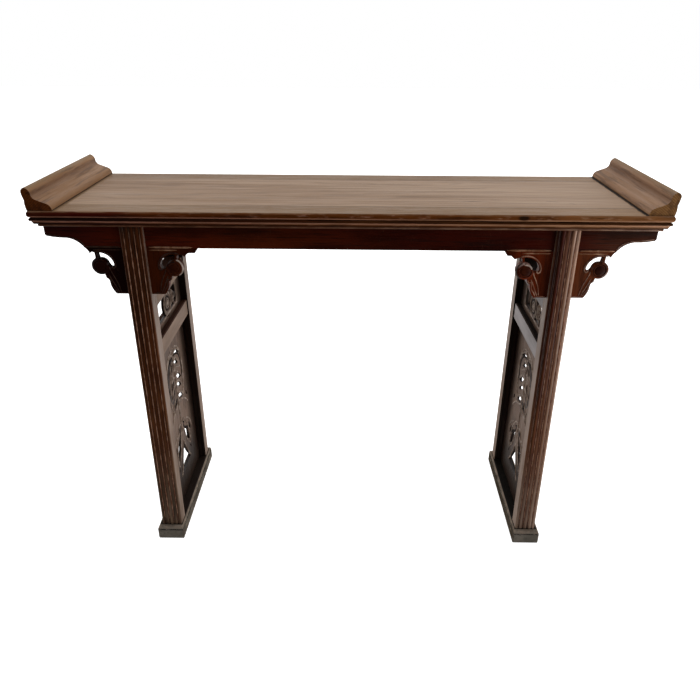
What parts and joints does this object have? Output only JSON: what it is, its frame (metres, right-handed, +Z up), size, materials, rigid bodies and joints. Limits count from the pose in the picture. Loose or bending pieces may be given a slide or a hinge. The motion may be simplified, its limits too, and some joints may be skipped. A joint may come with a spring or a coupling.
{
  "type": "altar table",
  "caption": "Long narrow altar table with everted end flanges, reeded legs on foot blocks, cloud spandrels and pierced side panels.",
  "frame": {"origin": "on the floor under the middle of the table", "axes": "+X along the length towards the right end, -Y towards the front, +Z up"},
  "size_m": [1.316, 0.368, 0.917],
  "materials": {
    "faded_top": "satin, faded",
    "faded_flange": "satin, faded",
    "dark_lacquer": "semi-gloss dark red-brown lacquer",
    "worn_foot": "matt, worn",
    "peg_wood": "matt",
    "bare_wood": "matt"
  },
  "bodies": {
    "root": {"back_apron": "dark_lacquer", "back_edge_strip": "dark_lacquer", "back_top_board": "faded_top", "back_top_rail": "faded_top", "foot_pegs": "peg_wood", "front_apron": "dark_lacquer", "front_edge_strip": "dark_lacquer", "front_top_board": "faded_top", "front_top_rail": "faded_top", "left_back_leg": "dark_lacquer", "left_back_spandrel": "dark_lacquer", "left_end_apron": "dark_lacquer", "left_flange": "faded_flange", "left_foot_block": "worn_foot", "left_front_leg": "dark_lacquer", "left_front_spandrel": "dark_lacquer", "left_inner_batten": "bare_wood", "left_lower_panel": "dark_lacquer", "left_middle_rail": "dark_lacquer", "left_outer_batten": "bare_wood", "left_top_end_rail": "faded_top", "left_upper_panel": "dark_lacquer", "left_upper_rail": "dark_lacquer", "right_back_leg": "dark_lacquer", "right_back_spandrel": "dark_lacquer", "right_end_apron": "dark_lacquer", "right_flange": "faded_flange", "right_foot_block": "worn_foot", "right_front_leg": "dark_lacquer", "right_front_spandrel": "dark_lacquer", "right_inner_batten": "bare_wood", "right_lower_panel": "dark_lacquer", "right_middle_rail": "dark_lacquer", "right_outer_batten": "bare_wood", "right_top_end_rail": "faded_top", "right_upper_panel": "dark_lacquer", "right_upper_rail": "dark_lacquer"}
  },
  "joints": []
}
